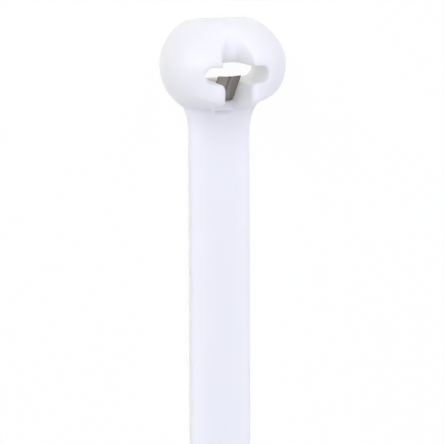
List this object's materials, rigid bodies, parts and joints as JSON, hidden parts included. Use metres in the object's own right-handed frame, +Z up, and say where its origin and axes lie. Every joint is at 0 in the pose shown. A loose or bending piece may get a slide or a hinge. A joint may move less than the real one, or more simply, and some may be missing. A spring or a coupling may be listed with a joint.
{
  "type": "cable tie",
  "caption": "Self-locking nylon cable tie with a rounded, slotted head, a slip of spring steel as the locking barb, a smooth strap and a tapered tail.",
  "frame": {"origin": "bottom centre of the bounding box, on the surface that the tie lies on", "axes": "+Y along the strap from the tail to the head, +Z up out of the strap's outer face, +X across the strap"},
  "size_m": [0.0074, 0.14, 0.004],
  "materials": {
    "natural_nylon": "satin moulded nylon in its natural milky white, slightly translucent",
    "spring_steel": "dull rolled strip with sheared edges"
  },
  "bodies": {
    "root": {"tie_moulding": "natural_nylon", "locking_barb": "spring_steel"}
  },
  "joints": []
}
